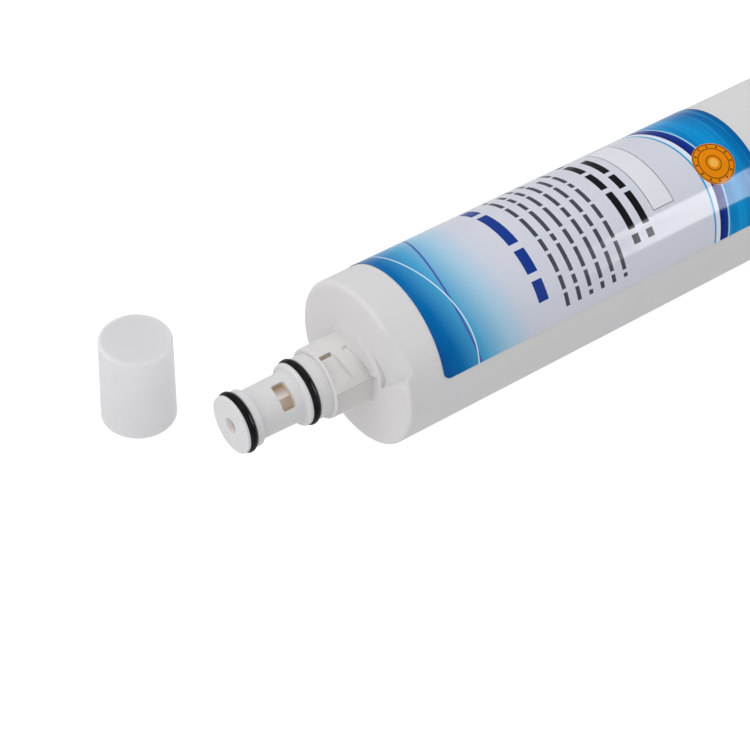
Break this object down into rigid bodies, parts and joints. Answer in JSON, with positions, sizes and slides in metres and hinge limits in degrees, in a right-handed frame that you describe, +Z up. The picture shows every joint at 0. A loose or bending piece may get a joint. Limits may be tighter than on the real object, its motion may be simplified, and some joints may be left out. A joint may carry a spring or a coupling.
{
  "type": "refrigerator water filter cartridge",
  "caption": "White cylindrical fridge water filter cartridge lying on its side, with a ring-sealed bayonet nose, a blue printed label and its milky nose cap standing beside it.",
  "frame": {"origin": "centre of the outlet bore, at the face of the nose tip", "axes": "+X along the cartridge from the nose to the tail, +Z up as it lies on its side, +Y toward the nose cap"},
  "size_m": [0.291, 0.081, 0.0538],
  "materials": {
    "housing_plastic": "moulded white, fine satin",
    "ring_rubber": "black, lightly greased",
    "inner_plastic": "natural white",
    "fleece": "white fleece",
    "pressed_carbon": "black pressed carbon",
    "label_film": "glossy printed film",
    "cap_plastic": "milky translucent"
  },
  "bodies": {
    "root": {"housing": "housing_plastic", "tail_closure": "housing_plastic", "front_ring": "ring_rubber", "rear_ring": "ring_rubber", "block_front_cap": "inner_plastic", "tube_seal": "ring_rubber", "core_sleeve": "fleece", "carbon_block": "pressed_carbon", "sediment_wrap": "fleece", "block_rear_cap": "inner_plastic", "label": "label_film", "nose_cap": "cap_plastic"}
  },
  "joints": []
}
